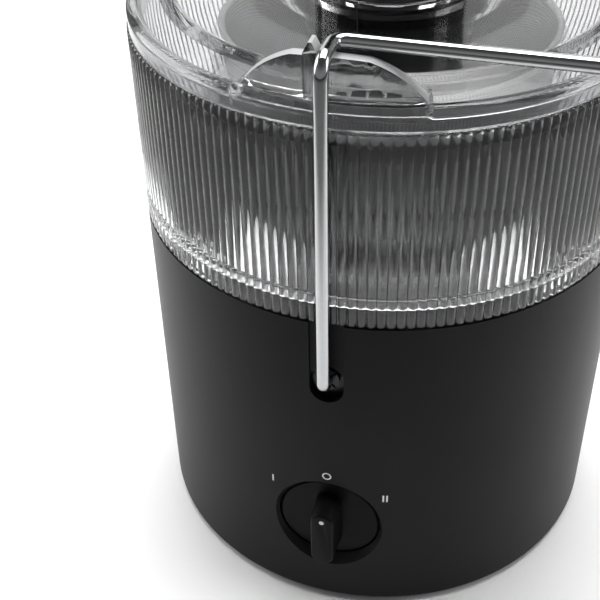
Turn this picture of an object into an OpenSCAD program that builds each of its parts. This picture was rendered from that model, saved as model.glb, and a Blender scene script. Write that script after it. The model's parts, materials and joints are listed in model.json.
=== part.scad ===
// Centrifugal juicer: a drum-shaped motor base, a fluted clear pulp bowl, a clear lid with
// a feed chute and pusher, a steel filter basket, and a wire bail that locks the lid.
// Millimetres, +Z up. The origin is the centre of the base on the table top. The speed
// knob and one bail pivot face -Y, the bail swings forward and the spout points to +X.

/* [Body] */
// Outer diameter of the drum: base, bowl and lid are flush
body_d = 200; // [199:0.5:201]
// Height of the foot ring that shows below the base
foot_h = 2.5; // [2:0.5:4]
// Height of the motor base
base_h = 153; // [150:1:156]
// Height of the clear bowl
bowl_h = 78.5; // [77:0.5:80]
// Wall thickness of the moulded base
wall = 2.5; // [2:0.1:2.8]

/* [Knob] */
// Height of the knob axis above the bottom of the base
knob_z = 45.7; // [42:0.5:50]
// Radius of the round knob disc
knob_r = 21; // [19:0.5:21.2]
// Length of the grip bar across the knob
grip_len = 31; // [26:1:34]
// How far the grip bar stands out from the knob disc
grip_out = 13; // [8:1:16]

/* [Bail] */
// Diameter of the bail wire
wire_d = 5; // [4.6:0.1:5]
// Height of the bail pivot above the bottom of the base
pivot_z = 126.5; // [124:0.5:128]
// Distance of each upright arm from the middle plane
arm_y = 104.5; // [104:0.5:107]
// Distance of each lid bar from the middle plane
bar_y = 88; // [87:0.5:88.5]
// Reach of the crossbar in front of the pivot axis
bar_reach = 93.5; // [90:0.5:96]

/* [Chute] */
// Height of the feed chute above the flat lid top
chute_up = 60.5; // [40:0.5:70]
// Outer radius of the feed chute
chute_r = 30.5; // [30:0.5:32]

/* [Hidden] */

R = body_d / 2;
z0 = foot_h;                 // underside of the base
z1 = z0 + base_h;            // joint between base and bowl
z2 = z1 + bowl_h;            // joint between bowl and lid
kz = z0 + knob_z;
pz = z0 + pivot_z;
ztop = z2 + 13;              // flat top of the lid
zdeck = z1 - 5.5;            // underside of the top deck
bar_z = z2 + 25.8;           // centre line of the bail's lid bars
wr = wire_d / 2;
chute_in = chute_r - 2.3;
push_r = chute_in - 0.3;
swing_r = bar_z - wr - 0.4 - pz;
clear_r = R - 2.4;

// ---- helpers -------------------------------------------------------------------------

// Ring between two radii and two heights
module ring(ro, ri, za, zb, n = 120) {
  translate([0, 0, za]) difference() {
    cylinder(r = ro, h = zb - za, $fn = n);
    translate([0, 0, -1]) cylinder(r = ri, h = zb - za + 2, $fn = n);
  }
}

// Cylinder along Y on the side s (-1 front, 1 back), from radius ya to yb
module ycyl(r, s, ya, yb, x = 0, z = 0, n = 48) {
  y = s < 0 ? -yb : ya;
  translate([x, y, z]) rotate([-90, 0, 0]) cylinder(r = r, h = yb - ya, $fn = n);
}

// Upright obround prism along Y: w wide, t tall, centred on height z
module yslot(w, t, s, ya, yb, z) {
  for (k = [-1, 1]) ycyl(w / 2, s, ya, yb, 0, z + k * (t - w) / 2);
  y = s < 0 ? -yb : ya;
  translate([-w / 2, y, z - (t - w) / 2]) cube([w, yb - ya, t - w]);
}

// Quarter bend of the wire in the XY plane, centred on the origin
module bend(r) {
  rotate_extrude(angle = 90, $fn = 72) translate([r, 0]) circle(r = wr, $fn = 40);
}

// Straight wire between two points on one axis
module rod(p, q) {
  d = q - p;
  len = norm(d);
  turn = abs(d[2]) > 0.5 * len ? [0, 0, 0] : abs(d[1]) > 0.5 * len ? [-90, 0, 0] : [0, 90, 0];
  translate(p) rotate(turn) cylinder(r = wr, h = len, $fn = 40);
}

// Points of an arc
function arc(cx, cy, r, a, b, n) =
  [for (i = [0:n]) [cx + r * cos(a + (b - a) * i / n), cy + r * sin(a + (b - a) * i / n)]];

// Pan-head screw, head up
module pan_screw(x, y, z, head_r, shank_r, len) {
  translate([x, y, z]) difference() {
    union() {
      translate([0, 0, -len]) cylinder(r = shank_r, h = len, $fn = 24);
      cylinder(r = head_r, h = 2, $fn = 32);
    }
    for (a = [0, 90]) rotate([0, 0, a])
      translate([-head_r * 0.6, -0.5, 1]) cube([head_r * 1.2, 1, 2]);
  }
}

// ---- base ----------------------------------------------------------------------------

// Mark outlines for the dial, as cutters or inlays between two radii
module mark_o(ya, yb) {
  difference() {
    ycyl(1.9, -1, ya, yb, 0, z0 + 74.7, 40);
    ycyl(1.3, -1, ya - 1, yb + 1, 0, z0 + 74.7, 40);
  }
}

module mark_bar(a, x, ya, yb) {
  rotate([0, 0, a]) translate([x - 0.35, -yb, z0 + 63.05]) cube([0.7, yb - ya, 3.7]);
}

module marks(ya, yb) {
  mark_o(ya, yb);
  mark_bar(-13.6, 0, ya, yb);
  mark_bar(13.6, -0.75, ya, yb);
  mark_bar(13.6, 0.75, ya, yb);
}

module base_housing() {
  ri = R - wall;
  color([0.11, 0.11, 0.115]) difference() {
    union() {
      rotate_extrude($fn = 180) polygon(concat(
        [[ri, z0 + 3.2], [ri - 1.4, z0 + 3.2], [ri - 1.4, z0], [R - 2, z0]],
        arc(R - 2, z0 + 2, 2, -80, 0, 5),
        [[R, z1 - 0.1], [ri, z1 - 0.1]]));
      // ledge under the deck
      ring(ri + 0.5, ri - 4, zdeck - 3, zdeck, 180);
      // thick pads behind the knob and the two pivots
      intersection() {
        cylinder(r = R - 1, h = z1 - 8, $fn = 180);
        union() {
          ycyl(28, -1, R - 10, R, 0, kz, 72);
          for (s = [-1, 1]) yslot(19.6, 24, s, R - 14, R, pz - 2.6);
          ycyl(11, 1, R - 8, R, 0, z0 + 17, 48);
        }
      }
      // posts that take the base-plate screws
      for (a = [45:90:315]) rotate([0, 0, a]) translate([R - 14, 0, z0 + 4])
        cylinder(r = 5, h = 24, $fn = 32);
      for (a = [45:90:315]) rotate([0, 0, a]) translate([R - 14, -1.25, z0 + 4])
        cube([12.5, 2.5, 24]);
    }
    // dished knob recess
    translate([0, 0, kz]) rotate([90, 0, 0]) rotate_extrude($fn = 96) polygon(
      [[0, R - 7], [knob_r + 0.6, R - 7], [knob_r + 0.6, R - 4],
       [knob_r + 4.2, R], [knob_r + 6, R + 2], [0, R + 2]]);
    ycyl(3.15, -1, R - 11, R - 6, 0, kz, 40);
    // pivot recesses, shallow grooves above them, and holes for the pins
    for (s = [-1, 1]) {
      yslot(13.2, 17, s, R - 9, R + 2, pz - 2.6);
      translate([-6.6, s < 0 ? -R - 2 : R - 1.2, pz]) cube([13.2, 3.2, z1 - pz + 1]);
      ycyl(wr + 0.5, s, R - 15, R - 8, 0, pz, 40);
    }
    // opening for the cord gland
    ycyl(6, 1, R - 9, R + 2, 0, z0 + 17, 48);
    // pilot holes for the base screws
    for (a = [45:90:315]) rotate([0, 0, a]) translate([R - 14, 0, z0])
      cylinder(r = 1.65, h = 18, $fn = 24);
    // pilot holes for the deck screws
    for (a = [45:90:315]) rotate([0, 0, a]) translate([R - wall - 2.4, 0, zdeck - 4])
      cylinder(r = 1.25, h = 5, $fn = 24);
    // printed dial marks sit in shallow pockets
    difference() {
      marks(R - 4, R + 1);
      cylinder(r = R - 0.15, h = z1, $fn = 180);
    }
  }
}

module base_plate() {
  ro = R - wall - 0.15;
  color([0.13, 0.13, 0.13]) difference() {
    union() {
      translate([0, 0, z0 + 0.2]) cylinder(r = ro - 1.5, h = 3, $fn = 120);
      translate([0, 0, z0 + 3.2]) cylinder(r = ro, h = 0.7, $fn = 120);
    }
    // air slots under the motor
    for (i = [-3:3]) translate([-22, i * 8 - 2, z0 - 1]) cube([44, 4, 6]);
    // screw clearance and counterbore
    for (a = [45:90:315]) rotate([0, 0, a]) translate([R - 14, 0, z0 - 1]) {
      cylinder(r = 1.8, h = 6, $fn = 24);
      cylinder(r = 3.6, h = 3.3, $fn = 32);
    }
    // groove for the foot ring
    ring(R - 20, R - 30, z0 - 1, z0 + 1.8);
  }
}

module foot_ring() {
  color([0.08, 0.08, 0.08]) {
    ring(R - 21, R - 29, 0, z0 + 0.2);
    ring(R - 20.1, R - 29.9, z0 + 0.2, z0 + 1.7);
  }
}

module base_screws() {
  color([0.55, 0.55, 0.57]) for (a = [45:90:315]) rotate([0, 0, a])
    translate([0, 0, z0 + 2.25]) mirror([0, 0, 1]) pan_screw(R - 14, 0, 0, 3.3, 1.6, 12);
}

module cord_gland() {
  color([0.09, 0.09, 0.09]) difference() {
    union() {
      ycyl(5.9, 1, R - 12, R + 5, 0, z0 + 17, 48);
      ycyl(8, 1, R + 0.2, R + 2.4, 0, z0 + 17, 48);
      ycyl(8, 1, R - 11, R - 8.3, 0, z0 + 17, 48);
    }
    ycyl(3.4, 1, R - 14, R + 7, 0, z0 + 17, 48);
  }
}

// ---- deck over the motor ---------------------------------------------------------------

module top_deck() {
  color([0.12, 0.12, 0.12]) difference() {
    union() {
      translate([0, 0, zdeck]) cylinder(r = R - wall - 0.2, h = 3, $fn = 180);
      // neck round the shaft and the rib that carries the juice collector
      ring(15, 9.2, zdeck, zdeck + 7);
      ring(62, 60, zdeck, z1 + 2.9);
      // black rim that centres the bowl
      ring(R - 3.2, R - 5.2, zdeck, z1 + 7.4, 180);
    }
    translate([0, 0, zdeck - 1]) cylinder(r = 9.2, h = 5, $fn = 60);
    // gap for the spout
    translate([R - 12, -14.4, zdeck + 3]) cube([20, 28.8, 20]);
    // notches for the screw heads
    for (a = [45:90:315]) rotate([0, 0, a])
      translate([R - wall - 2.4, 0, zdeck + 3]) cylinder(r = 2.5, h = 14, $fn = 32);
    for (a = [45:90:315]) rotate([0, 0, a]) {
      translate([R - wall - 2.4, 0, zdeck - 1]) cylinder(r = 1.45, h = 5, $fn = 24);
      translate([36, 0, zdeck - 1]) cylinder(r = 3.1, h = 5, $fn = 32);
    }
  }
}

module deck_screws() {
  color([0.6, 0.6, 0.62]) {
    for (a = [45:90:315]) rotate([0, 0, a])
      pan_screw(R - wall - 2.4, 0, zdeck + 3.05, 2.1, 1.2, 6);
  }
}

module motor_mounts() {
  color([0.06, 0.06, 0.06]) for (a = [45:90:315]) rotate([0, 0, a]) translate([36, 0, 0]) {
    difference() {
      union() {
        translate([0, 0, zdeck - 11]) cylinder(r = 7, h = 10.9, $fn = 40);
        translate([0, 0, zdeck - 0.2]) cylinder(r = 3, h = 3.3, $fn = 32);
        translate([0, 0, zdeck + 3.05]) cylinder(r = 5, h = 1.4, $fn = 32);
      }
      translate([0, 0, zdeck - 12]) cylinder(r = 1.7, h = 18, $fn = 24);
    }
  }
}

// Microswitch beside the front pivot, which lets the motor run only under the locked bail
module lid_switch() {
  color([0.2, 0.2, 0.22]) difference() {
    translate([8, -R + 14.1, pz - 5]) cube([20, 6.4, 10]);
    for (x = [12, 24]) ycyl(1.5, -1, R - 22, R - 13, x, pz - 2, 24);
  }
}

// ---- motor -----------------------------------------------------------------------------

mz = z0 + 48;               // underside of the stator stack
mh = 40;                    // height of the stack

module upper_bracket() {
  zt = zdeck - 11.1;
  color([0.62, 0.63, 0.65]) difference() {
    union() {
      for (a = [45, 135]) rotate([0, 0, a]) translate([-44, -8, zt - 3]) cube([88, 16, 3]);
      translate([0, 0, zt - 11]) cylinder(r = 14, h = 11, $fn = 60);
      for (s = [-1, 1]) translate([-6, s * 37 - 5, zt - 3]) cube([12, 10, 3]);
      for (s = [-1, 1]) translate([-6, s * 22 - 16, zt - 3]) cube([12, 32, 3]);
      for (s = [-1, 1]) translate([0, s * 37, mz + mh + 0.1])
        cylinder(r = 4, h = zt - 3 - mz - mh, $fn = 32);
    }
    translate([0, 0, zt - 12]) cylinder(r = 11.05, h = 8, $fn = 60);
    translate([0, 0, zt - 13]) cylinder(r = 5, h = 20, $fn = 40);
    for (a = [45:90:315]) rotate([0, 0, a]) translate([36, 0, zt - 4])
      cylinder(r = 1.7, h = 6, $fn = 24);
    for (s = [-1, 1]) translate([0, s * 37, mz]) cylinder(r = 2.05, h = 90, $fn = 24);
  }
}

module lower_bracket() {
  zb = mz - 32;
  color([0.62, 0.63, 0.65]) difference() {
    union() {
      translate([-8, -42, zb]) cube([16, 84, 3]);
      translate([0, 0, zb]) cylinder(r = 14, h = 10, $fn = 60);
      for (s = [-1, 1]) translate([0, s * 37, zb]) cylinder(r = 4, h = mz - zb - 0.1, $fn = 32);
    }
    translate([0, 0, zb + 3]) cylinder(r = 11.05, h = 9, $fn = 60);
    translate([0, 0, zb - 1]) cylinder(r = 5, h = 12, $fn = 40);
    for (s = [-1, 1]) translate([0, s * 37, zb - 1]) cylinder(r = 2.05, h = 60, $fn = 24);
  }
}

module motor_screws() {
  zt = zdeck - 11.1;
  color([0.7, 0.7, 0.72]) {
    for (s = [-1, 1]) pan_screw(0, s * 37, zt + 0.05, 3.6, 1.95, zt - mz + 35);
    for (a = [45:90:315]) rotate([0, 0, a]) pan_screw(36, 0, zdeck + 4.5, 3.2, 1.6, 20);
  }
}

module stator_core() {
  color([0.45, 0.45, 0.47]) difference() {
    intersection() {
      translate([0, 0, mz]) cylinder(r = 43, h = mh, $fn = 90);
      translate([-36, -44, mz - 1]) cube([72, 88, mh + 2]);
    }
    translate([0, 0, mz - 1]) cylinder(r = 22.6, h = mh + 2, $fn = 90);
    for (s = [-1, 1]) {
      translate([s * 26 - 5, -22, mz - 1]) cube([10, 44, mh + 2]);
      translate([0, s * 37, mz - 1]) cylinder(r = 2.05, h = mh + 2, $fn = 24);
    }
  }
}

module field_windings() {
  color([0.62, 0.33, 0.14]) for (s = [-1, 1]) {
    difference() {
      translate([s * 26 - 4.6, -21.6, mz - 9]) cube([9.2, 43.2, mh + 18]);
      translate([s * 26 - 6, -15, mz - 1.5]) cube([12, 30, mh + 3]);
      translate([0, 0, mz - 10]) cylinder(r = 22.9, h = mh + 20, $fn = 90);
    }
  }
}

module upper_bearing() {
  zt = zdeck - 11.1;
  color([0.75, 0.76, 0.78]) difference() {
    translate([0, 0, zt - 11]) cylinder(r = 11, h = 7, $fn = 60);
    translate([0, 0, zt - 12]) cylinder(r = 4.05, h = 9, $fn = 60);
    ring(9, 6.2, zt - 11.5, zt - 10.4, 60);
  }
}

module lower_bearing() {
  zb = mz - 32;
  color([0.75, 0.76, 0.78]) difference() {
    translate([0, 0, zb + 3]) cylinder(r = 11, h = 7, $fn = 60);
    translate([0, 0, zb + 2]) cylinder(r = 4.05, h = 9, $fn = 60);
    ring(9, 6.2, zb + 9.4, zb + 11, 60);
  }
}

module brush_holders() {
  color([0.5, 0.38, 0.2]) for (s = [-1, 1]) difference() {
    translate([s < 0 ? -34 : 14, -6, mz - 19.8]) cube([20, 12, 10]);
    translate([s < 0 ? -33 : 11, -3.2, mz - 17.8]) cube([22, 6.4, 6.2]);
  }
}

module carbon_brushes() {
  color([0.15, 0.15, 0.16]) for (s = [-1, 1])
    translate([s < 0 ? -26 : 11.3, -3, mz - 17.6]) cube([14.7, 6, 5.8]);
}

module motor_shaft() {
  color([0.78, 0.79, 0.8]) translate([0, 0, mz - 30]) union() {
    cylinder(r = 4, h = z1 + 11 - mz + 30, $fn = 60);
    translate([0, 0, 9]) cylinder(r = 5.6, h = 1, $fn = 48);
  }
}

module armature_core() {
  color([0.4, 0.4, 0.42]) difference() {
    translate([0, 0, mz]) cylinder(r = 22, h = mh, $fn = 90);
    translate([0, 0, mz - 1]) cylinder(r = 4.02, h = mh + 2, $fn = 60);
    for (i = [0:11]) rotate([0, 0, i * 30]) translate([15, -1.6, mz - 1])
      cube([9, 3.2, mh + 2]);
  }
}

module armature_winding() {
  color([0.66, 0.36, 0.16]) {
    ring(17, 4.4, mz + mh + 0.1, mz + mh + 8, 72);
    ring(17, 4.4, mz - 7.5, mz - 0.1, 72);
    for (i = [0:11]) rotate([0, 0, i * 30]) translate([15.3, -1.4, mz - 1])
      cube([5.4, 2.8, mh + 2]);
  }
}

module commutator() {
  color([0.72, 0.45, 0.2]) difference() {
    translate([0, 0, mz - 18.5]) cylinder(r = 11, h = 9, $fn = 72);
    translate([0, 0, mz - 20]) cylinder(r = 4.02, h = 12, $fn = 60);
    for (i = [0:11]) rotate([0, 0, i * 30 + 15]) translate([10, -0.3, mz - 19])
      cube([2, 0.6, 10]);
  }
}

module cooling_fan() {
  zf = mz + mh + 10;
  color([0.85, 0.85, 0.82]) difference() {
    union() {
      translate([0, 0, zf]) cylinder(r = 33, h = 1.6, $fn = 90);
      translate([0, 0, zf]) cylinder(r = 9, h = 8, $fn = 48);
      for (i = [0:8]) rotate([0, 0, i * 40]) translate([12, -0.9, zf + 1])
        rotate([0, 0, 12]) cube([18, 1.8, 7]);
    }
    translate([0, 0, zf - 1]) cylinder(r = 4.02, h = 12, $fn = 60);
  }
}

module shaft_seal() {
  color([0.35, 0.1, 0.08]) ring(9.1, 4.06, zdeck + 1, zdeck + 6, 60);
}

module drive_coupling() {
  color([0.86, 0.86, 0.83]) difference() {
    union() {
      translate([0, 0, z1 + 3]) cylinder(r = 12, h = 9.5, $fn = 72);
      for (i = [0:5]) rotate([0, 0, i * 60]) translate([10, -1.5, z1 + 3]) cube([4, 3, 9.5]);
    }
    translate([0, 0, z1 + 2]) cylinder(r = 4.02, h = 9.2, $fn = 60);
  }
}

// ---- basket and collector ----------------------------------------------------------------

module filter_basket() {
  zf = z1 + 17;
  color([0.72, 0.73, 0.74]) {
    rotate_extrude($fn = 120) polygon(
      [[4, zf], [60.6, zf], [64, z1 + 69.2], [66, z1 + 70], [66, z1 + 72],
       [63.2, z1 + 72], [63.2, z1 + 69.6], [59.8, zf + 0.9], [4, zf + 0.9]]);
    // hub with six key slots that drops over the coupling
    difference() {
      translate([0, 0, z1 + 4]) cylinder(r = 17, h = 13.2, $fn = 72);
      translate([0, 0, z1 + 3]) cylinder(r = 12.15, h = 9.7, $fn = 72);
      for (i = [0:5]) rotate([0, 0, i * 60]) translate([10, -1.7, z1 + 3])
        cube([4.3, 3.4, 9.7]);
    }
  }
}

module grater_disc() {
  zf = z1 + 18;
  color([0.66, 0.67, 0.69]) union() {
    translate([0, 0, zf]) cylinder(r = 54, h = 0.9, $fn = 120);
    for (k = [0:4], i = [0:7 + 4 * k]) rotate([0, 0, i * 360 / (8 + 4 * k) + 9 * k])
      translate([14 + 9 * k, -0.9, zf + 0.5]) cube([1.8, 1.8, 2.2]);
  }
}

// Inner wall of the clear bowl moulding, round the filter basket
module collector_wall() {
  color([0.75, 0.78, 0.8]) difference() {
    ring(69, 67, z1 + 5.05, z1 + 65.5);
    // outlet to the spout
    translate([62, -12, z1 + 4]) cube([12, 24, 14.5]);
  }
}

// Floor of the juice collector with the tube that keeps juice off the shaft
module collector_floor() {
  color([0.75, 0.78, 0.8]) {
    ring(69, 20.5, z1 + 3, z1 + 5);
    ring(22.5, 20.5, z1 + 3, z1 + 14.5, 90);
  }
}

// Duct from the collector out through the bowl wall, ending in a down-turned nozzle
module juice_spout() {
  za = z1 + 0.8;
  color([0.75, 0.78, 0.8]) difference() {
    union() {
      translate([60, -14, za]) cube([58, 28, 19.7]);
      translate([118, 0, z1 - 10]) cylinder(r = 14, h = 30.5, $fn = 60);
    }
    translate([50, -12, z1 + 5]) cube([68, 24, 13.5]);
    translate([118, 0, z1 - 12]) cylinder(r = 12, h = 30.5, $fn = 60);
    translate([0, 0, za - 1]) cylinder(r = 69.05, h = 30, $fn = 120);
  }
}

// Outer wall of the clear bowl, down to the joint with the base
module bowl_wall() {
  color([0.85, 0.87, 0.88]) difference() {
    rotate_extrude($fn = 180) polygon(
      [[clear_r, z1 + 0.1], [R - 0.4, z1 + 0.1], [R, z1 + 0.5], [R, z2 - 0.5],
       [R - 0.4, z2 - 0.1], [clear_r, z2 - 0.1]]);
    // gap for the spout
    translate([66, -14.4, z1 - 1]) cube([40, 28.8, 22]);
  }
}

// Raised floor of the pulp space, between the outer wall and the collector wall
module bowl_floor() {
  color([0.85, 0.87, 0.88]) difference() {
    union() {
      ring(clear_r - 0.05, 69.3, z1 + 7.6, z1 + 10.2, 180);
      ring(71.2, 69.3, z1 + 7.6, z1 + 16);
    }
    translate([60, -14.4, z1 + 5]) cube([40, 28.8, 15.8]);
  }
}

// ---- lid ---------------------------------------------------------------------------------

// Outline of the lid: rolled edge, sloping border and raised flat top with a chute hole
module lid_shell() {
  t = 2.2;
  difference() {
    rotate_extrude($fn = 180) polygon(concat(
      [[R - 0.5, z2 + 0.1], [R - 0.5, z2 + 5.8]],
      arc(R - 3.5, z2 + 5.8, 3, 12, 90, 6),
      [[R - 5.3, z2 + 8], [R - 14.4, z2 + 11], [R - 16.5, ztop], [chute_r + 0.05, ztop],
       [chute_r + 0.05, ztop - t], [R - 17.6, ztop - t],
       [R - 15.6, z2 + 8.9], [R - 6.2, z2 + 5.9], [R - 6.2, z2 - 5], [R - 4.6, z2 - 5],
       [R - 4.6, z2 + 0.1]]));
    // hollow over the bowl rim
    ring(R - 2.6, R - 4.6, z2 - 1, z2 + 4.4, 180);
  }
}

module lid_cover() {
  color([0.86, 0.88, 0.9]) lid_shell();
}

// Feed chute, one moulding with the lid, with a key rib that guides the pusher
module feed_chute() {
  zb = z1 + 22.5;
  zt = ztop + chute_up;
  color([0.86, 0.88, 0.9]) {
    ring(chute_r, chute_in, zb, zt, 120);
    ring(chute_r + 1.2, chute_in + 1, zt - 3, zt, 120);
    translate([-6.6, -chute_r + 1, zb]) cube([3.2, 3.5, zt - zb]);
  }
}

// Curved rib on each side of the lid that carries the bail bar
module bail_ribs() {
  color([0.86, 0.88, 0.9]) difference() {
    for (s = [-1, 1]) intersection() {
      ring(R - 5, R - 9.2, z2 + 6.6, z2 + 30, 180);
      ycyl(37, s, 80, R, 0, z2 - 12.5, 120);
      // the rib stays below the path of the swinging bar
      translate([0, -R - 5, pz]) rotate([-90, 0, 0])
        cylinder(r = swing_r, h = 2 * R + 10, $fn = 240);
    }
    lid_shell();
    bail_stops();
  }
}

// Pointed stop beside each rib that the bail rests against
module bail_stops() {
  color([0.86, 0.88, 0.9]) difference() {
    for (s = [-1, 1]) intersection() {
      ring(R - 2.6, R - 8.2, z2 + 6.6, z2 + 30, 180);
      translate([-7.8, s < 0 ? -R : R - 14, 0]) rotate([90, 0, 0]) mirror([0, 0, 1])
        linear_extrude(14) polygon([[0, z2], [4.9, z2], [4.9, z2 + 24.4], [4.1, z2 + 26.2],
          [3.1, z2 + 28.2], [1.9, z2 + 28.2], [0.9, z2 + 26.4], [0, z2 + 24.4]]);
    }
    lid_shell();
  }
}

// ---- pusher ------------------------------------------------------------------------------

module pusher_body() {
  zb = z1 + 24;
  color([0.07, 0.07, 0.075]) difference() {
    union() {
      rotate_extrude($fn = 120) polygon(
        [[0, zb], [19.5, zb], [20.5, zb + 1], [21, z1 + 48], [23.5, z1 + 57],
         [push_r, z1 + 71], [push_r, ztop + chute_up + 0.4], [0, ztop + chute_up + 0.4]]);
    }
    translate([-7, -push_r - 1, zb - 1]) cube([4, 3.4, 260]);
    translate([0, 0, z1 + 76]) cylinder(r = push_r - 3, h = 200, $fn = 90);
  }
}

module pusher_cap() {
  zc = ztop + chute_up + 0.5;
  color([0.08, 0.08, 0.085]) rotate_extrude($fn = 120) polygon(concat(
    [[0, zc], [36, zc], [36.5, zc + 0.5], [36.5, zc + 18]],
    arc(31.5, zc + 18, 5, 0, 80, 6),
    [[26, zc + 22.4], [0, zc + 21.6]]));
}

// ---- bail --------------------------------------------------------------------------------

module bail_wire() {
  b0 = 3;
  b1 = 6;
  b2 = 4.8;
  b3 = 14;
  color([0.8, 0.81, 0.83]) {
    for (s = [0, 1]) mirror([0, s, 0]) {
      rod([0, -arm_y + b0, pz], [0, -R + 18, pz]);
      translate([0, -arm_y + b0, pz + b0]) rotate([0, 90, 0]) rotate([0, 0, -90])
        bend(b0);
      rod([0, -arm_y, pz + b0], [0, -arm_y, bar_z - b1]);
      translate([0, -arm_y + b1, bar_z - b1]) rotate([0, 90, 0]) rotate([0, 0, 180])
        bend(b1);
      rod([0, -arm_y + b1, bar_z], [0, -bar_y - b2, bar_z]);
      translate([b2, -bar_y - b2, bar_z]) rotate([0, 0, 90]) bend(b2);
      rod([b2, -bar_y, bar_z], [bar_reach - b3, -bar_y, bar_z]);
      translate([bar_reach - b3, -bar_y + b3, bar_z]) rotate([0, 0, -90]) bend(b3);
    }
    rod([bar_reach, -bar_y + b3, bar_z], [bar_reach, bar_y - b3, bar_z]);
  }
}

module bail_clips() {
  color([0.6, 0.6, 0.62]) for (s = [-1, 1]) difference() {
    ycyl(6, s, R - 16, R - 14.6, 0, pz, 48);
    ycyl(wr + 0.02, s, R - 17, R - 13, 0, pz, 40);
  }
}

module pivot_inserts() {
  color([0.05, 0.05, 0.05]) for (s = [-1, 1]) difference() {
    yslot(12.8, 16.6, s, R - 8.9, R - 4, pz - 2.6);
    ycyl(4.95, s, R - 7.5, R, 0, pz, 48);
    ycyl(wr + 0.3, s, R - 12, R, 0, pz, 40);
  }
}

module pivot_bushes() {
  color([0.06, 0.06, 0.06]) for (s = [-1, 1]) difference() {
    ycyl(4.9, s, R - 7.4, R - 0.6, 0, pz, 60);
    ycyl(wr + 0.05, s, R - 12, R + 1, 0, pz, 40);
    for (a = [0, 90]) translate([0, s < 0 ? -R - 0.4 : R - 1.8, pz]) rotate([0, a + 45, 0])
      translate([-6, 0, -0.5]) cube([12, 2.2, 1]);
  }
}

// ---- knob and switch ---------------------------------------------------------------------

module speed_knob() {
  e = grip_len / 2;
  color([0.08, 0.08, 0.085]) translate([0, 0, kz]) rotate([90, 0, 0]) difference() {
    union() {
      rotate_extrude($fn = 96) polygon(
        [[0, R - 6.6], [knob_r, R - 6.6], [knob_r, R - 4.6], [knob_r - 0.6, R - 4], [0, R - 4]]);
      hull() {
        for (k = [-1, 1]) translate([0, k * (e - 5.5), R - 4.4]) cylinder(r = 5.5, h = 0.4, $fn = 32);
        for (k = [-1, 1]) translate([0, k * (e - 5.5), R - 4])
          cylinder(r1 = 5.5, r2 = 4.8, h = grip_out - 0.8, $fn = 32);
        for (k = [-1, 1]) translate([0, k * (e - 5.5), R - 4.8 + grip_out])
          cylinder(r1 = 4.8, r2 = 4.1, h = 0.8, $fn = 32);
      }
    }
    translate([0, 0, R - 8]) cylinder(r = 3.02, h = 11, $fn = 40);
    translate([0, grip_len / 2 - 4.7, R - 4.25 + grip_out]) cylinder(r = 1.05, h = 1, $fn = 32);
  }
}

module knob_dot() {
  color([0.93, 0.93, 0.93]) translate([0, 0, kz]) rotate([90, 0, 0])
    translate([0, grip_len / 2 - 4.7, R - 4.24 + grip_out]) cylinder(r = 1, h = 0.26, $fn = 32);
}

module switch_shaft() {
  color([0.7, 0.71, 0.72]) ycyl(3, -1, R - 22, R + 2.5, 0, kz, 40);
}

module rotary_switch() {
  color([0.16, 0.16, 0.17]) difference() {
    union() {
      translate([-14, -R + 12, kz - 14]) cube([28, 16, 28]);
      ycyl(6, -1, R - 12.1, R - 10.05, 0, kz, 40);
    }
    ycyl(3.06, -1, R - 23, R - 8, 0, kz, 40);
    ycyl(3.6, -1, R - 24, R - 21, 0, kz, 40);
  }
}

module dial_marks() {
  color([0.9, 0.9, 0.9]) intersection() {
    marks(R - 4, R + 1);
    ring(R + 0.03, R - 0.14, z0 + 50, z0 + 90, 180);
    translate([-60, -R - 5, 0]) cube([120, 40, 160]);
  }
}

// ---- assembly ----------------------------------------------------------------------------

base_housing();
base_plate();
foot_ring();
base_screws();
top_deck();
deck_screws();
motor_mounts();
upper_bracket();
lower_bracket();
motor_screws();
stator_core();
field_windings();
upper_bearing();
lower_bearing();
brush_holders();
carbon_brushes();
motor_shaft();
armature_core();
armature_winding();
commutator();
cooling_fan();
drive_coupling();
shaft_seal();
filter_basket();
grater_disc();
collector_wall();
collector_floor();
juice_spout();
bowl_wall();
bowl_floor();
lid_cover();
bail_ribs();
bail_stops();
feed_chute();
pusher_body();
pusher_cap();
bail_wire();
bail_clips();
pivot_inserts();
pivot_bushes();
speed_knob();
knob_dot();
switch_shaft();
rotary_switch();
dial_marks();
lid_switch();
cord_gland();
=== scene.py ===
import json
import math

import bmesh
import bpy
from mathutils import Matrix, Vector


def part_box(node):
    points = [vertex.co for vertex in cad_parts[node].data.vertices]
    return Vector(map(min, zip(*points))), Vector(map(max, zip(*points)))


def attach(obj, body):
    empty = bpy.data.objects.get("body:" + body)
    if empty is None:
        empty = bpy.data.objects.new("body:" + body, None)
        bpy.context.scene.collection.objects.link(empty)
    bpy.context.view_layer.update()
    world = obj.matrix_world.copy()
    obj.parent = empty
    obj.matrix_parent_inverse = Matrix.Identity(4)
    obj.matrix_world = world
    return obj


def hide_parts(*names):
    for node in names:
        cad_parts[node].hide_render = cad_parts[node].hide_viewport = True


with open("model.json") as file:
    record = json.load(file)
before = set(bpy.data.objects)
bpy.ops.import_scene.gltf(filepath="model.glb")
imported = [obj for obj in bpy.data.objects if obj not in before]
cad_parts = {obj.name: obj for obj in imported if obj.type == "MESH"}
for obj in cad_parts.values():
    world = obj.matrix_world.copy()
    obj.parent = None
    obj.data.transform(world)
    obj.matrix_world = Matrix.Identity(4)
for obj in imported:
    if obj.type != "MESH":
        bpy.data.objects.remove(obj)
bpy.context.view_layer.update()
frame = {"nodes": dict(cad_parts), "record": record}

MM = 0.001
NODES = frame["nodes"]
scene = bpy.context.scene

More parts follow.
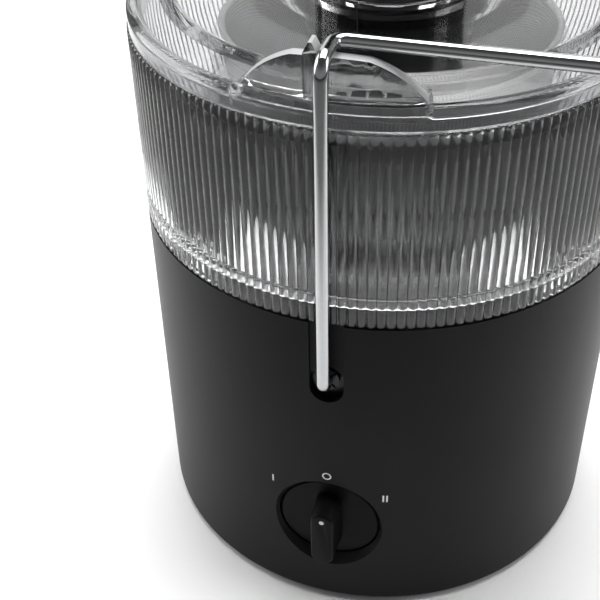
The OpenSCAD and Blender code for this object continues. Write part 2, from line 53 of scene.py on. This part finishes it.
# Measures of the object in millimetres, the heights from the frame's own nodes
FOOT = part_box("base_housing")[0].z / MM
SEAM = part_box("bowl_wall")[0].z / MM            # joint between base and bowl
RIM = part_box("bowl_wall")[1].z / MM + 0.1       # joint between bowl and lid
FLAT = RIM + 13                                 # flat top of the lid
R = 100.0                                       # radius of the base and the bowl


# ---- camera and light ------------------------------------------------------------------

LENS = 66.71
LOOK_ALONG = (-0.2200, 0.7537, -0.6192)
CAMERA_ROLL = -1.37                             # degrees
CAMERA_AT = (76.9, -395.5, 405.5 + FOOT)        # millimetres

# name, place, target, size in metres, watts, spread in degrees
SOFTBOXES = (
    ("softbox_left", (-1.1, 0.05, 0.55), (0, 0, 0.15), (0.8, 0.9), 7, 180),
    ("softbox_right", (1.1, 0.1, 0.6), (0, 0, 0.15), (0.5, 0.8), 3.5, 180),
    ("softbox_top", (0.0, 0.40, 1.5), (0, 0.30, 0.0), (1.7, 1.2), 15, 90),
    ("softbox_back", (-0.3, 1.25, 0.95), (0, 0, 0.25), (1.6, 1.1), 5.5, 180),
)
HORIZON = (0.25, 0.30)                          # height of the view vector, brightness
ZENITH = (0.85, 0.08)


def link(ob):
    scene.collection.objects.link(ob)
    return ob


def make_camera():
    data = bpy.data.cameras.new("camera")
    data.sensor_width = 36.0
    data.lens = LENS
    data.clip_start = 0.01
    data.clip_end = 50
    forward = Vector(LOOK_ALONG).normalized()
    level = forward.cross(Vector((0, 0, 1))).normalized()
    upright = level.cross(forward)
    roll = math.radians(CAMERA_ROLL)
    right = level * math.cos(roll) + upright * math.sin(roll)
    up = upright * math.cos(roll) - level * math.sin(roll)
    place = Matrix((right, up, -forward)).transposed().to_4x4()
    place.translation = Vector(CAMERA_AT) * MM
    ob = link(bpy.data.objects.new("camera", data))
    ob.matrix_world = place
    scene.camera = ob


def make_softbox(name, place, target, size, power, spread):
    data = bpy.data.lights.new(name, "AREA")
    data.shape = "RECTANGLE"
    data.size, data.size_y = size
    data.energy = power
    data.spread = math.radians(spread)
    ob = link(bpy.data.objects.new(name, data))
    ob.location = place
    aim = Vector(target) - Vector(place)
    ob.rotation_euler = aim.to_track_quat("-Z", "Y").to_euler()


def make_world():
    """A soft grey studio, palest near the horizon."""
    world = bpy.data.worlds.new("studio")
    world.use_nodes = True
    nt = world.node_tree
    back = nt.nodes["Background"]
    sep = nt.nodes.new("ShaderNodeSeparateXYZ")
    nt.links.new(nt.nodes.new("ShaderNodeTexCoord").outputs["Generated"], sep.inputs[0])
    level = nt.nodes.new("ShaderNodeMapRange")
    level.interpolation_type = "SMOOTHSTEP"
    for end, (height, strength) in (("Min", HORIZON), ("Max", ZENITH)):
        level.inputs["From " + end].default_value = height
        level.inputs["To " + end].default_value = strength
    nt.links.new(sep.outputs["Z"], level.inputs["Value"])
    back.inputs["Color"].default_value = (1, 1, 1, 1)
    nt.links.new(level.outputs["Result"], back.inputs["Strength"])
    scene.world = world


make_camera()
make_world()
for _box in SOFTBOXES:
    make_softbox(*_box)
scene.view_settings.view_transform = "Standard"


# ---- mesh helpers ----------------------------------------------------------------------

def shade_smooth(mesh):
    mesh.polygons.foreach_set("use_smooth", [True] * len(mesh.polygons))


def add_object(name, verts, faces, angle):
    """An object from points in millimetres, smooth but for edges past the given angle."""
    mesh = bpy.data.meshes.new(name)
    mesh.from_pydata([(x * MM, y * MM, z * MM) for x, y, z in verts], [], faces)
    mesh.validate()
    bm = bmesh.new()
    bm.from_mesh(mesh)
    bmesh.ops.recalc_face_normals(bm, faces=bm.faces)
    bm.to_mesh(mesh)
    bm.free()
    shade_smooth(mesh)
    mesh.set_sharp_from_angle(angle=math.radians(angle))
    return link(bpy.data.objects.new(name, mesh))


def lathe(name, loop, n, shape=None, closed=True, turn=0.0, angle=35.0):
    """A solid of revolution in n steps. loop is an outline of (r, z) pairs, closed on itself
    or from axis to axis. shape(i, a, k, r, z) may move outline point k at step i, angle a."""
    verts, faces = [], []
    m = len(loop)
    for i in range(n):
        a = turn + 2 * math.pi * i / n
        c, s = math.cos(a), math.sin(a)
        for k, (r, z) in enumerate(loop):
            if shape:
                r, z = shape(i, a, k, r, z)
            verts.append((r * c, r * s, z))
    for i in range(n):
        j = (i + 1) % n
        for k in range(m if closed else m - 1):
            l = (k + 1) % m
            faces.append((i * m + k, j * m + k, j * m + l, i * m + l))
    return add_object(name, verts, faces, angle)


def arc(cx, cz, r, a0, a1, n):
    """Points along a circle from angle a0 to angle a1, in n steps."""
    out = []
    for i in range(n + 1):
        a = math.radians(a0 + (a1 - a0) * i / n)
        out.append((cx + r * math.cos(a), cz + r * math.sin(a)))
    return out


def rounded(loop, radii, seg=4):
    """The closed outline with each corner k rounded by radii[k] (0 keeps it sharp)."""
    nearly_straight = math.radians(88)
    out, n = [], len(loop)
    for k in range(n):
        p = Vector(loop[k])
        a = Vector(loop[k - 1]) - p
        b = Vector(loop[(k + 1) % n]) - p
        r = radii[k] if k < len(radii) else 0
        la, lb = a.length, b.length
        if r <= 0 or la < 1e-6 or lb < 1e-6:
            out.append(tuple(p))
            continue
        a.normalize()
        b.normalize()
        half = math.acos(max(-1, min(1, a.dot(b)))) / 2
        if half > nearly_straight:
            out.append(tuple(p))
            continue
        t = min(r / math.tan(half), la * 0.48, lb * 0.48)
        r = t * math.tan(half)
        centre = p + (a + b).normalized() * (r / math.sin(half))
        p0, p1 = p + a * t, p + b * t
        v0, v1 = p0 - centre, p1 - centre
        total = math.acos(max(-1, min(1, v0.normalized().dot(v1.normalized()))))
        cross = v0.x * v1.y - v0.y * v1.x
        for i in range(seg + 1):
            th = total * i / seg * (1 if cross > 0 else -1)
            c, s = math.cos(th), math.sin(th)
            out.append((centre.x + v0.x * c - v0.y * s, centre.y + v0.x * s + v0.y * c))
    return out


def tube(name, path, radius, n):
    """A round bar with n sides and flat ends along a list of points, with parallel frames."""
    pts = [Vector(p) for p in path]
    last = len(pts) - 1
    tang = [(pts[min(i + 1, last)] - pts[max(i - 1, 0)]).normalized()
            for i in range(last + 1)]
    ref = Vector((0, 0, 1)) if abs(tang[0].z) < 0.9 else Vector((1, 0, 0))
    nrm = tang[0].cross(ref).normalized()
    verts, faces = [], []
    for i, p in enumerate(pts):
        if i:
            nrm = tang[i - 1].rotation_difference(tang[i]) @ nrm
        nrm = (nrm - tang[i] * nrm.dot(tang[i])).normalized()
        side = tang[i].cross(nrm)
        for k in range(n):
            a = 2 * math.pi * k / n
            verts.append(tuple(p + (nrm * math.cos(a) + side * math.sin(a)) * radius))
    for i in range(last):
        for k in range(n):
            l = (k + 1) % n
            faces.append((i * n + k, i * n + l, (i + 1) * n + l, (i + 1) * n + k))
    faces.append(tuple(range(n)))
    faces.append(tuple(last * n + k for k in range(n)))
    return add_object(name, verts, faces, 40)


# ---- materials -------------------------------------------------------------------------

def new_material(name):
    """A material, its node tree, its surface node and its object coordinates."""
    m = bpy.data.materials.new(name)
    m.use_nodes = True
    nt = m.node_tree
    vec = add(nt, "ShaderNodeTexCoord").outputs["Object"]
    return m, nt, nt.nodes["Principled BSDF"], vec


def add(nt, kind, **values):
    n = nt.nodes.new(kind)
    for k, v in values.items():
        setattr(n, k, v)
    return n


def noise(nt, vec, scale, detail, rough):
    n = add(nt, "ShaderNodeTexNoise")
    n.inputs["Scale"].default_value = scale
    n.inputs["Detail"].default_value = detail
    n.inputs["Roughness"].default_value = rough
    nt.links.new(vec, n.inputs["Vector"])
    return n.outputs["Fac"]


def ramp(nt, src, a, b, lo, hi):
    r = add(nt, "ShaderNodeMapRange")
    r.inputs["From Min"].default_value = a
    r.inputs["From Max"].default_value = b
    r.inputs["To Min"].default_value = lo
    r.inputs["To Max"].default_value = hi
    nt.links.new(src, r.inputs["Value"])
    return r.outputs["Result"]


def calculate(nt, operation, first, second):
    """A math node. second is another node's output, or a number."""
    n = add(nt, "ShaderNodeMath", operation=operation)
    nt.links.new(first, n.inputs[0])
    if isinstance(second, float):
        n.inputs[1].default_value = second
    else:
        nt.links.new(second, n.inputs[1])
    return n.outputs[0]


def colour_mix(nt, fac, c0, c1):
    m = add(nt, "ShaderNodeMix", data_type="RGBA")
    m.inputs["A"].default_value = (*c0, 1)
    m.inputs["B"].default_value = (*c1, 1)
    nt.links.new(fac, m.inputs["Factor"])
    return m.outputs["Result"]


def bump(nt, height, strength, distance, bsdf):
    b = add(nt, "ShaderNodeBump")
    b.inputs["Strength"].default_value = strength
    b.inputs["Distance"].default_value = distance
    nt.links.new(height, b.inputs["Height"])
    nt.links.new(b.outputs["Normal"], bsdf.inputs["Normal"])


def plastic(name, dark, light, rough, grain=9000.0, depth=0.00002, spec=0.5):
    """Opaque moulded plastic with a fine grain and a slight drift of tone."""
    m, nt, p, vec = new_material(name)
    broad = noise(nt, vec, 18, 2, 0.5)
    fine = noise(nt, vec, grain, 2, 0.6)
    nt.links.new(colour_mix(nt, ramp(nt, broad, 0.35, 0.65, 0, 1), dark, light),
                 p.inputs["Base Color"])
    nt.links.new(ramp(nt, fine, 0.3, 0.7, rough - 0.05, rough + 0.06), p.inputs["Roughness"])
    p.inputs["Specular IOR Level"].default_value = spec
    bump(nt, fine, 0.25, depth, p)
    return m


def clear_plastic(name, tint, rough, alpha=1.0, transmission=1.0, wave=0.0):
    """Clear plastic. alpha below 1 also lets some light straight through, and wave makes
    the surface slightly uneven."""
    m, nt, p, vec = new_material(name)
    p.inputs["Base Color"].default_value = (*tint, 1)
    p.inputs["Transmission Weight"].default_value = transmission
    p.inputs["Alpha"].default_value = alpha
    p.inputs["IOR"].default_value = 1.49
    fine = noise(nt, vec, 900, 3, 0.6)
    nt.links.new(ramp(nt, fine, 0.35, 0.75, rough, rough + 0.03), p.inputs["Roughness"])
    if wave:
        bump(nt, noise(nt, vec, 60, 2, 0.5), wave, 0.0006, p)
    return m


def metal(name, colour, rough, scratch=600.0, depth=0.00001):
    m, nt, p, vec = new_material(name)
    p.inputs["Metallic"].default_value = 1.0
    fine = noise(nt, vec, scratch, 4, 0.6)
    dark = tuple(c * 0.93 for c in colour)
    nt.links.new(colour_mix(nt, ramp(nt, fine, 0.3, 0.7, 0, 1), dark, colour),
                 p.inputs["Base Color"])
    nt.links.new(ramp(nt, fine, 0.3, 0.7, max(rough - 0.02, 0.01), rough + 0.04),
                 p.inputs["Roughness"])
    bump(nt, fine, 0.15, depth, p)
    return m


HOLE_PITCH = 1.3                                # millimetres
HOLE_SIZE = 0.36                                # radius of a hole, as a share of the pitch
# Painted shade: the grey that the holes are painted, darker than the steel
HOLE_PAINTED_SHADE = (0.42, 0.42, 0.42)
BASKET_R = 62


def perforated(name, colour, rough):
    """Satin steel with a fine pattern of round holes in the wall. The holes are not cut: they
    are painted a darker grey, as painted shade for the openings.
    """
    m, nt, p, vec = new_material(name)
    p.inputs["Metallic"].default_value = 0.3
    sep = add(nt, "ShaderNodeSeparateXYZ")
    nt.links.new(vec, sep.inputs[0])
    turn = calculate(nt, "ARCTAN2", sep.outputs["Y"], sep.outputs["X"])
    columns = round(2 * math.pi * BASKET_R / HOLE_PITCH) / (2 * math.pi)
    grid = add(nt, "ShaderNodeCombineXYZ")
    nt.links.new(calculate(nt, "MULTIPLY", turn, columns), grid.inputs[0])
    nt.links.new(calculate(nt, "MULTIPLY", sep.outputs["Z"], 1000 / HOLE_PITCH),
                 grid.inputs[1])
    vor = add(nt, "ShaderNodeTexVoronoi", voronoi_dimensions="2D")
    vor.inputs["Scale"].default_value = 1.0
    vor.inputs["Randomness"].default_value = 0.0
    nt.links.new(grid.outputs[0], vor.inputs["Vector"])
    solid = ramp(nt, vor.outputs["Distance"], HOLE_SIZE - 0.05, HOLE_SIZE + 0.05, 0, 1)
    # painted shade: the holes are only a darker grey in the colour
    nt.links.new(colour_mix(nt, solid, HOLE_PAINTED_SHADE, colour), p.inputs["Base Color"])
    fine = noise(nt, vec, 600, 4, 0.6)
    nt.links.new(ramp(nt, fine, 0.3, 0.7, rough, rough + 0.06), p.inputs["Roughness"])
    bump(nt, solid, 0.4, 0.0002, p)
    return m


DEEP_BLACK = ((0.004, 0.004, 0.0043), (0.006, 0.006, 0.0063))

M = {
    "housing": plastic("black_satin_plastic", (0.006, 0.006, 0.0063), (0.008, 0.008, 0.0083),
                       0.42, spec=0.10),
    "knob": plastic("black_gloss_plastic", *DEEP_BLACK, 0.34, grain=4000, depth=0.00001,
                    spec=0.06),
    "gloss": plastic("black_polished_plastic", *DEEP_BLACK, 0.16, grain=4000,
                     depth=0.000005),
    "trim": plastic("black_trim_plastic", (0.004, 0.004, 0.004), (0.006, 0.006, 0.006), 0.36,
                    spec=0.3),
    "rubber": plastic("black_rubber", (0.012, 0.012, 0.012), (0.018, 0.018, 0.018), 0.7,
                      grain=5000, depth=0.00004),
    "print": plastic("white_print", (0.72, 0.72, 0.72), (0.8, 0.8, 0.8), 0.5),
    "carbon": plastic("pressed_carbon", (0.02, 0.02, 0.021), (0.03, 0.03, 0.031), 0.5),
    "white": plastic("white_moulded_plastic", (0.7, 0.7, 0.67), (0.76, 0.76, 0.73), 0.4),

    "clear": clear_plastic("clear_plastic_bowl", (0.84, 0.845, 0.85), 0.015, alpha=0.985),
    "clear_lid": clear_plastic("clear_plastic_lid", (0.6, 0.605, 0.61), 0.01, alpha=0.98,
                               wave=0.05),
    "clear_spout": clear_plastic("clear_plastic_spout", (0.85, 0.855, 0.86), 0.04),
    # painted shade: a much darker copy of the lid's clear plastic, for the step round the
    # flat top
    "clear_step_painted_shade": clear_plastic("clear_plastic_step_painted_shade", (0.22, 0.222, 0.225), 0.05),
    # painted highlight: a paler, half-diffuse copy of the clear plastic for the top faces of
    # the ribs and posts
    "clear_rib_painted_highlight": clear_plastic("clear_plastic_painted_highlight", (0.7, 0.705, 0.71), 0.3,
                               transmission=0.45),
    "clear_inner": clear_plastic("translucent_collector", (0.8, 0.805, 0.81), 0.18,
                                 alpha=0.22, transmission=0.0),

    "chrome": metal("polished_chrome_wire", (0.48, 0.485, 0.49), 0.08),
    "steel": metal("satin_steel", (0.62, 0.63, 0.64), 0.28),
    "zinc": metal("zinc_plated_steel", (0.6, 0.61, 0.63), 0.3),
    "lamination": metal("varnished_laminations", (0.3, 0.3, 0.31), 0.45),
    "alloy": metal("cast_alloy", (0.6, 0.61, 0.62), 0.4, 300, 0.00003),
    "copper": metal("enamelled_copper", (0.62, 0.28, 0.12), 0.3, 900),
    "perforated": perforated("perforated_steel", (0.86, 0.865, 0.87), 0.42),
}
MATERIAL_OF_SLOT = {
    "black_satin": "housing", "black_gloss": "knob", "black_trim": "trim",
    "white_print": "print", "clear_plastic": "clear", "chrome_wire": "chrome",
    "steel": "steel", "zinc_steel": "zinc", "lamination": "lamination",
    "cast_alloy": "alloy", "copper": "copper", "carbon": "carbon",
    "white_plastic": "white", "rubber": "rubber",
}
# The collector is translucent, so that the basket inside it gets light
MATERIAL_OF_NODE = {
    "collector_wall": "clear_inner", "collector_floor": "clear_inner",
    "juice_spout": "clear_inner",
}

for _sub in frame["record"]["subparts"]:
    _node = _sub["node"]
    _ob = NODES[_node]
    _mat = M[MATERIAL_OF_NODE.get(_node, MATERIAL_OF_SLOT[_sub["material_slot"]])]
    if not _ob.material_slots:
        _ob.data.materials.append(_mat)
    for _slot in _ob.material_slots:
        _slot.material = _mat


def finish_piece(ob, mat, body, slot, *nodes):
    """Gives a piece its material and its body, and hides the nodes that it stands for; the
    slot is not used.
    """
    ob.data.materials.clear()
    ob.data.materials.append(M[mat])
    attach(ob, body)
    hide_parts(*nodes)
    return ob


def second_finish(ob, mat, test):
    """Gives another material to the faces that pass a test."""
    ob.data.materials.append(M[mat])
    for face in ob.data.polygons:
        if test(face):
            face.material_index = 1


# ---- fluted bowl -----------------------------------------------------------------------

FLUTES = 175
FLUTE_SEG = 8
FLUTE_DEPTH = 0.8
BOWL_WALL = 2.4
SPOUT_HALF = 14.4                               # half the width of the gap for the spout
SPOUT_TOP = 20.8                                # height of that gap above the seam


def make_bowl():
    """The fluted bowl with its inner floor, which steps up over the spout."""
    inner = R - BOWL_WALL
    z0, z1 = SEAM, RIM - 0.1
    floor = z0 + 7.5
    rise = [z0 + 1.0 + (z1 - z0 - 2.0) * k / 8 for k in range(9)]
    outer = ([(R - 1.0, z0), (R - 0.35, z0 + 0.2)] + [(R, z) for z in rise]
             + [(R - 0.35, z1 - 0.2), (R - 1.0, z1)])
    loop = (
        [(inner + 0.3, z0)] + outer
        + [(inner + 0.7, z1), (inner + 0.6, z1 - 5.8), (inner, z1 - 6.4)]
        + [(inner, floor + 5.6)]
        + arc(inner - 3, floor + 5.6, 3, 0, -90, 5)[1:]
        + [(72.5, floor + 2.6), (71.5, floor + 3.1), (71.2, floor + 8.2), (69.4, floor + 8.2),
           (69.4, floor), (inner - 1.2, floor), (inner, floor - 1.2)]
    )
    last = len(outer)

    def shape(i, a, k, r, z):
        if 1 <= k <= last:
            across = (i % FLUTE_SEG) / FLUTE_SEG * 2 - 1
            r -= FLUTE_DEPTH * across * across * (1.0 if 1 < k < last else 0.5)
        if math.cos(a) > 0 and abs(R * math.sin(a)) < SPOUT_HALF:
            low = z0 + SPOUT_TOP
            if k > last and z < low + 1.3 and r < inner - 0.1:
                under = loop[k][1] <= floor + 0.1
                return r, low + (0.0 if under else 1.4)
            return r, max(z, low)
        return r, z

    ob = lathe("fluted_bowl", loop, FLUTES * FLUTE_SEG, shape=shape, angle=50,
               turn=math.radians(-90))
    finish_piece(ob, "clear", "base", "clear_plastic", "bowl_wall", "bowl_floor")


make_bowl()


# ---- lid, chute and pusher -------------------------------------------------------------

TURNS = 720                                     # steps round the lid, pusher and cap
LEDGE_HALF = 19.6                               # half the angle of each ledge, in degrees
STEP_INNER, STEP_OUTER = 82.9, 86.9             # radii of the step round the flat top


def make_lid():
    """The lid with its chute. Its rolled edge flattens to a ledge before each arched rib."""
    z = RIM
    roll = arc(R - 3.5, z + 5.8, 3, 0, 90, 10) + arc(R - 3.9, z + 7.6, 1.2, 90, 150, 4)
    low, high = (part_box("feed_chute")[i].z / MM for i in (0, 1))
    rest = rounded(
        [(R - 5.3, z + 8), (R - 13.2, z + 10.5), (R - 17.0, FLAT), (30.5, FLAT),
         (30.5, high - 3.4), (31.7, high - 3), (31.7, high), (29.2, high), (29.2, high - 3),
         (28.2, high - 3.6), (28.2, low), (30.5, low), (30.5, z + 10.8),
         (R - 18.4, z + 10.8), (R - 17.2, z + 8.3), (R - 6.2, z + 5.9),
         (R - 6.2, z - 5), (R - 4.6, z - 5), (R - 4.6, z + 4.4), (R - 2.6, z + 4.4),
         (R - 2.6, z + 0.1), (R - 0.5, z + 0.1)],
        [0, 0.5, 0.5, 1.6, 0.6, 0.4, 0.5, 0.7, 0.4, 0.4, 0.5, 0.5, 1.0,
         0.9, 0.8, 0.5, 0.5, 0.5, 0.7, 0.7, 0.25, 0.35])
    loop = roll + rest
    count = len(roll)

    def shape(i, a, k, r, z):
        away = abs(abs(math.degrees(math.atan2(math.sin(a), math.cos(a)))) - 90)
        w = max(0.0, min(1.0, (LEDGE_HALF - away) / 1.6))
        w = w * w * (3 - 2 * w)
        if w and k < count:
            t = k / (count - 1)
            slope_r = R - 0.6 - t * 4.6
            slope_z = RIM + 4.4 + t * 3.5 + 0.25 * math.sin(away * 0.9)
            r, z = r + (slope_r - r) * w, z + (slope_z - z) * w
        # the key rib inside the chute
        if math.sin(a) < 0 and -6.7 < r * math.cos(a) < -3.3 and r < 29.6:
            r -= 1.2
        return r, z

    def on_shaded_step(face):
        c = face.center / MM
        return (RIM + 10.4 < c.z < FLAT and face.normal.z > 0.2
                and STEP_INNER < math.hypot(c.x, c.y) < STEP_OUTER)

    ob = lathe("clear_lid", loop, TURNS, shape=shape, angle=38)
    finish_piece(ob, "clear_lid", "base", "clear_plastic", "lid_cover", "feed_chute")
    # Painted shade: the step's faces get the darker tint of the same clear plastic, for the
    # dark ring that the thick step shows
    second_finish(ob, "clear_step_painted_shade", on_shaded_step)    # the thick step looks darker


def soften(name, node, mat, body, slot, width, segments=2):
    """A copy of a node's shape with its sharp edges rounded, which stands for the node."""
    mesh = NODES[node].data.copy()
    mesh.name = name
    ob = link(bpy.data.objects.new(name, mesh))
    ob.matrix_world = NODES[node].matrix_world
    bm = bmesh.new()
    bm.from_mesh(mesh)
    bmesh.ops.remove_doubles(bm, verts=bm.verts, dist=2e-6)
    bmesh.ops.dissolve_limit(bm, angle_limit=math.radians(0.4), verts=bm.verts,
                             edges=bm.edges)
    bm.to_mesh(mesh)
    bm.free()
    shade_smooth(mesh)
    mod = ob.modifiers.new("round", "BEVEL")
    mod.width = width * MM
    mod.segments = segments
    mod.limit_method = "ANGLE"
    mod.angle_limit = math.radians(25)
    mod.harden_normals = True
    mod.use_clamp_overlap = True
    return finish_piece(ob, mat, body, slot, node)


make_lid()
for _name, _node in (("arched_ribs", "bail_ribs"), ("faceted_posts", "bail_stops")):
    # the top faces of the ribs and posts get a paler, half-diffuse copy of the clear plastic:
    # a painted highlight where they catch the light
    second_finish(soften(_name, _node, "clear_lid", "base", "clear_plastic", 0.2),
                  "clear_rib_painted_highlight", lambda face: face.normal.z > 0.3)


PUSHER_R = 27.9
PUSHER_RIBS = 120
PUSHER_RIB_DEPTH = 0.13
CAP_FLUTES = 36
CAP_FLUTE_DEPTH = 0.35


def make_pusher():
    """The pusher with its keyway and fine upright ribs above the tapered lower end."""
    lo, hi = (end.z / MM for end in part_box("pusher_body"))
    r = PUSHER_R
    side = [(r, lo + 48 + (hi - lo - 48.6) * k / 4) for k in range(5)]
    taper = rounded([(19.6, lo), (21, lo + 24), (23.5, lo + 33), (r, lo + 47)],
                    [1.2, 6, 8, 4], 6)
    loop = [(0.01, lo)] + taper + side + [(r - 0.5, hi), (0.01, hi)]

    def shape(i, a, k, r, z):
        if 0 < k < len(loop) - 1:
            if math.sin(a) < 0 and -7.0 < r * math.cos(a) < -3.0:
                return r - min(2.6, r * 0.1 + 0.6), z
            if z > lo + 47.5:
                r -= PUSHER_RIB_DEPTH * (i * PUSHER_RIBS // TURNS % 2)
        return r, z

    ob = lathe("food_pusher", loop, TURNS, shape=shape, closed=False)
    finish_piece(ob, "gloss", "pusher", "black_gloss", "pusher_body")


def make_pusher_cap():
    """The grip on top of the pusher, with shallow finger flutes round its side."""
    z0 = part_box("pusher_cap")[0].z / MM
    loop = ([(0.01, z0), (35.4, z0)] + arc(35.6, z0 + 0.9, 0.9, -80, 0, 4)
            + [(36.5, z0 + 8), (36.5, z0 + 17)]
            + arc(31.5, z0 + 18, 5, 4, 84, 9)
            + [(30.6, z0 + 22.8), (29.6, z0 + 22.3), (27, z0 + 21.6), (14, z0 + 21.1),
               (0.01, z0 + 21)])

    def shape(i, a, k, r, z):
        if r > 36:
            r -= CAP_FLUTE_DEPTH * (0.5 + 0.5 * math.cos(a * CAP_FLUTES)) ** 3
        return r, z

    ob = lathe("pusher_grip_cap", loop, TURNS, shape=shape, closed=False)
    finish_piece(ob, "gloss", "pusher", "black_gloss", "pusher_cap")


make_pusher()
make_pusher_cap()
soften("clear_spout", "juice_spout", "clear_spout", "base", "clear_plastic", 1.2, 4)
soften("dial_knob", "speed_knob", "knob", "knob", "black_gloss", 0.4, 3)


# ---- basket ----------------------------------------------------------------------------

def make_basket():
    """The perforated wall with its floor and rim, and the plain hub under it."""
    z0, z1 = (end.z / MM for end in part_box("filter_basket"))
    zf = z0 + 13
    loop = rounded(
        [(4, zf), (60.6, zf), (64, z1 - 2.8), (66, z1 - 2.2), (66, z1), (63.2, z1),
         (62.9, z1 - 3.2), (59.8, zf + 0.9), (4, zf + 0.9)],
        [0, 1.8, 0.5, 0.4, 0.6, 0.8, 0.6, 1.2, 0], 5)
    finish_piece(lathe("perforated_basket", loop, 480), "perforated", "rotor", "steel",
                 "filter_basket")
    hub = rounded([(12.15, z0), (17, z0), (17, zf + 0.1), (12.15, zf + 0.1)],
                  [0.5, 0.8, 0, 0])
    finish_piece(lathe("basket_hub", hub, 180), "steel", "rotor", "steel", "filter_basket")


make_basket()


# ---- bail wire -------------------------------------------------------------------------

WIRE_R = 2.5
BAR_Y = 88.0                                    # distance of each lid bar from the middle
# Bend radii, from the pivot up and round to the crossbar
BEND_PIN, BEND_ARM, BEND_BAR, BEND_CORNER = 3.0, 6.0, 4.8, 14.0


def bend_points(centre, u, v, r, n=14):
    """Quarter circle from centre + r*u to centre + r*v."""
    c, u, v = Vector(centre), Vector(u), Vector(v)
    return [tuple(c + (u * math.cos(t) + v * math.sin(t)) * r)
            for t in (math.pi / 2 * i / n for i in range(n + 1))]


def make_bail():
    """One wire from pivot to pivot, over the lid. Half of it is mirrored."""
    lo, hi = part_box("bail_wire")
    arm = hi.y / MM - WIRE_R
    top = hi.z / MM - WIRE_R
    pin = lo.z / MM + WIRE_R
    reach = hi.x / MM - WIRE_R
    b0, b1, b2, b3 = BEND_PIN, BEND_ARM, BEND_BAR, BEND_CORNER
    half = [(0, -R + 18, pin)]
    half += bend_points((0, -arm + b0, pin + b0), (0, 0, -1), (0, -1, 0), b0)
    half += [(0, -arm, pin + b0 + (top - b1 - pin - b0) * k / 12) for k in range(1, 12)]
    half += bend_points((0, -arm + b1, top - b1), (0, -1, 0), (0, 0, 1), b1)
    half += bend_points((b2, -BAR_Y - b2, top), (-1, 0, 0), (0, 1, 0), b2)
    half += [(b2 + (reach - b3 - b2) * k / 8, -BAR_Y, top) for k in range(1, 8)]
    half += bend_points((reach - b3, -BAR_Y + b3, top), (0, -1, 0), (1, 0, 0), b3)
    half += [(reach, -60, top), (reach, -30, top)]
    path = half + [(reach, 0, top)] + [(x, -y, z) for x, y, z in reversed(half)]
    finish_piece(tube("bail_wire_rod", path, WIRE_R, 40), "chrome", "bail", "chrome_wire",
                 "bail_wire")


make_bail()


# ---- floor -----------------------------------------------------------------------------

FLOOR_HALF = 4.0                                # metres
# Painted light: the floor's colour is pale in a round pool and fades outwards to a dark grey,
# as painted shade
LIGHT_POOL_CENTRE = (0.0, 0.25, 0.0)
LIGHT_POOL_STOPS = ((0.42, 0.93), (0.56, 0.8), (0.70, 0.2))   # radius in metres, brightness


def make_floor():
    """A pale round patch, about 1.1 m across, that fades to a grey ground: a painted pool of
    light, with the darker ground as painted shade.
    """
    mesh = bpy.data.meshes.new("studio_floor")
    s = FLOOR_HALF
    mesh.from_pydata([(-s, -s, 0), (s, -s, 0), (s, s, 0), (-s, s, 0)], [], [(0, 1, 2, 3)])
    ob = link(bpy.data.objects.new("studio_floor", mesh))
    m, nt, p, vec = new_material("floor_painted_light_pool")
    gap = add(nt, "ShaderNodeVectorMath", operation="DISTANCE")
    nt.links.new(vec, gap.inputs[0])
    gap.inputs[1].default_value = LIGHT_POOL_CENTRE
    fade = add(nt, "ShaderNodeValToRGB")
    stops = fade.color_ramp.elements
    stops.new(LIGHT_POOL_STOPS[1][0])
    for stop, (radius, grey) in zip(stops, LIGHT_POOL_STOPS):
        stop.position = radius
        stop.color = (grey, grey, grey, 1)
    nt.links.new(gap.outputs["Value"], fade.inputs["Fac"])
    nt.links.new(fade.outputs["Color"], p.inputs["Base Color"])
    p.inputs["Roughness"].default_value = 0.8
    mesh.materials.append(m)


make_floor()
